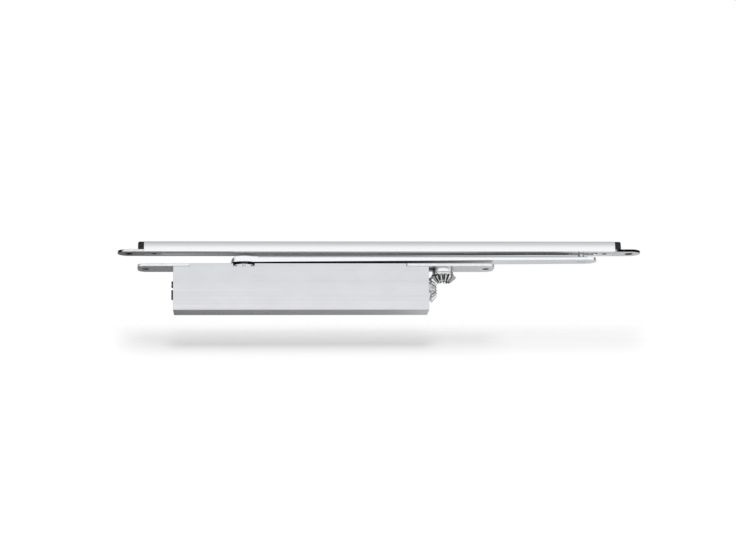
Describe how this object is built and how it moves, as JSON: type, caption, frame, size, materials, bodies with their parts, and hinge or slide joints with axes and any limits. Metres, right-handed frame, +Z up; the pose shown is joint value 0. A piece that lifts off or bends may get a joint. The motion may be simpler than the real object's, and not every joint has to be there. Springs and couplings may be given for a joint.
{
  "type": "concealed door closer",
  "caption": "Concealed slide-arm door closer: slim body with fixing ears, a swinging arm with a slider, a guide rail with screw tabs, and a bevel-gear force adjuster.",
  "frame": {"origin": "midway between the two leaf screws, on the seating face under the ears", "axes": "+X along the closer from the spindle's end to the slider's end, +Y across the leaf, away from the side that the picture shows, +Z up, from the leaf's top edge to the frame head"},
  "size_m": [0.548, 0.032, 0.0735],
  "materials": {
    "satin_aluminium": "fine lengthwise brushing, satin clear finish",
    "rail_aluminium": "satin anodised extrusion",
    "arm_steel": "ground and nickel plated, bright satin",
    "galvanised_steel": "bright zinc with a faint mottle",
    "zinc_steel": "bright zinc plated",
    "plated_zinc": "plated die casting, bright with fine grain",
    "bright_steel": "ground bright steel",
    "gear_steel": "bright plated sintered steel",
    "piston_steel": "machined steel",
    "spring_steel": "oiled spring steel",
    "black_oxide": "black oxide, slightly oily",
    "bronze": "sintered bronze",
    "seal_rubber": "matt black",
    "black_plastic": "moulded, fine matt grain",
    "white_plastic": "natural acetal, slightly waxy"
  },
  "bodies": {
    "closer_body": {"housing": "satin_aluminium", "left_ear": "galvanised_steel", "right_ear": "galvanised_steel", "ear_screws": "zinc_steel", "spindle_gland": "zinc_steel", "spindle_seal": "seal_rubber", "upper_bearing": "bronze", "lower_bearing": "bronze", "left_end_plug": "piston_steel", "left_plug_seal": "seal_rubber", "valve_seals": "seal_rubber", "right_end_plug": "piston_steel", "right_plug_seal": "seal_rubber", "adjuster_seal": "seal_rubber", "thrust_washer": "bronze", "closing_spring": "spring_steel"},
    "arm_assembly": {"arm": "arm_steel", "spindle": "bright_steel", "arm_screw": "black_oxide", "slider_pin": "bright_steel", "slider_pin_clip": "spring_steel"},
    "slider": {"slider_block": "white_plastic"},
    "rail_assembly": {"rail": "rail_aluminium", "rail_end_left": "plated_zinc", "rail_end_right": "plated_zinc", "end_cap_left": "black_plastic", "end_cap_right": "black_plastic", "clamp_screws": "black_oxide"},
    "piston_assembly": {"rack_piston": "piston_steel", "piston_seal": "seal_rubber", "check_valve": "bronze"},
    "adjuster": {"adjuster_gear": "gear_steel", "adjuster_circlip": "spring_steel"},
    "adjusting_spindle": {"adjusting_screw": "bright_steel", "drive_gear": "gear_steel", "drive_circlip": "spring_steel"},
    "spring_seat_nut": {"spring_seat": "piston_steel"},
    "closing_valve": {"closing_speed_valve": "black_oxide"},
    "latch_valve": {"latch_speed_valve": "black_oxide"}
  },
  "joints": [
    {"name": "arm_pivot", "type": "hinge", "parent": "closer_body", "child": "arm_assembly", "pos_m": [-0.0755, 0, 0], "axis": [0, 0, 1], "range_deg": [0, 150], "stiffness_Nm_per_rad": 1.5, "springref_deg": -114.59},
    {"name": "slider_pivot", "type": "hinge", "parent": "arm_assembly", "child": "slider", "pos_m": [0.2785, 0, 0.02], "axis": [0, 0, 1], "continuous": true},
    {"name": "rail_slide", "type": "slide", "parent": "slider", "child": "rail_assembly", "axis": [1, 0, 0], "range_m": [-0.003, 0.426]},
    {"name": "piston_slide", "type": "slide", "parent": "closer_body", "child": "piston_assembly", "axis": [1, 0, 0], "range_m": [0, 0.0197], "deforming": ["closing_spring"]},
    {"name": "adjuster_turn", "type": "hinge", "parent": "closer_body", "child": "adjuster", "pos_m": [0.13219, 0, 0], "axis": [0, 0, -1], "range_deg": [-2160, 3600]},
    {"name": "screw_turn", "type": "hinge", "parent": "closer_body", "child": "adjusting_spindle", "pos_m": [0.13219, 0, -0.0215], "axis": [-1, 0, 0], "range_deg": [-2160, 3600]},
    {"name": "seat_slide", "type": "slide", "parent": "closer_body", "child": "spring_seat_nut", "axis": [-1, 0, 0], "range_m": [-0.0091, 0.0151], "deforming": ["closing_spring"]},
    {"name": "closing_valve_turn", "type": "hinge", "parent": "closer_body", "child": "closing_valve", "pos_m": [-0.1485, 0, -0.0276], "axis": [1, 0, 0], "range_deg": [-360, 360]},
    {"name": "latch_valve_turn", "type": "hinge", "parent": "closer_body", "child": "latch_valve", "pos_m": [-0.1485, 0, -0.0167], "axis": [1, 0, 0], "range_deg": [-360, 360]}
  ],
  "couplings": [
    {"joint": "piston_slide", "follows": "arm_pivot", "m_per_rad": 0.0075},
    {"joint": "screw_turn", "follows": "adjuster_turn", "ratio": 1},
    {"joint": "seat_slide", "follows": "adjuster_turn", "m_per_rad": 0.00023873}
  ]
}
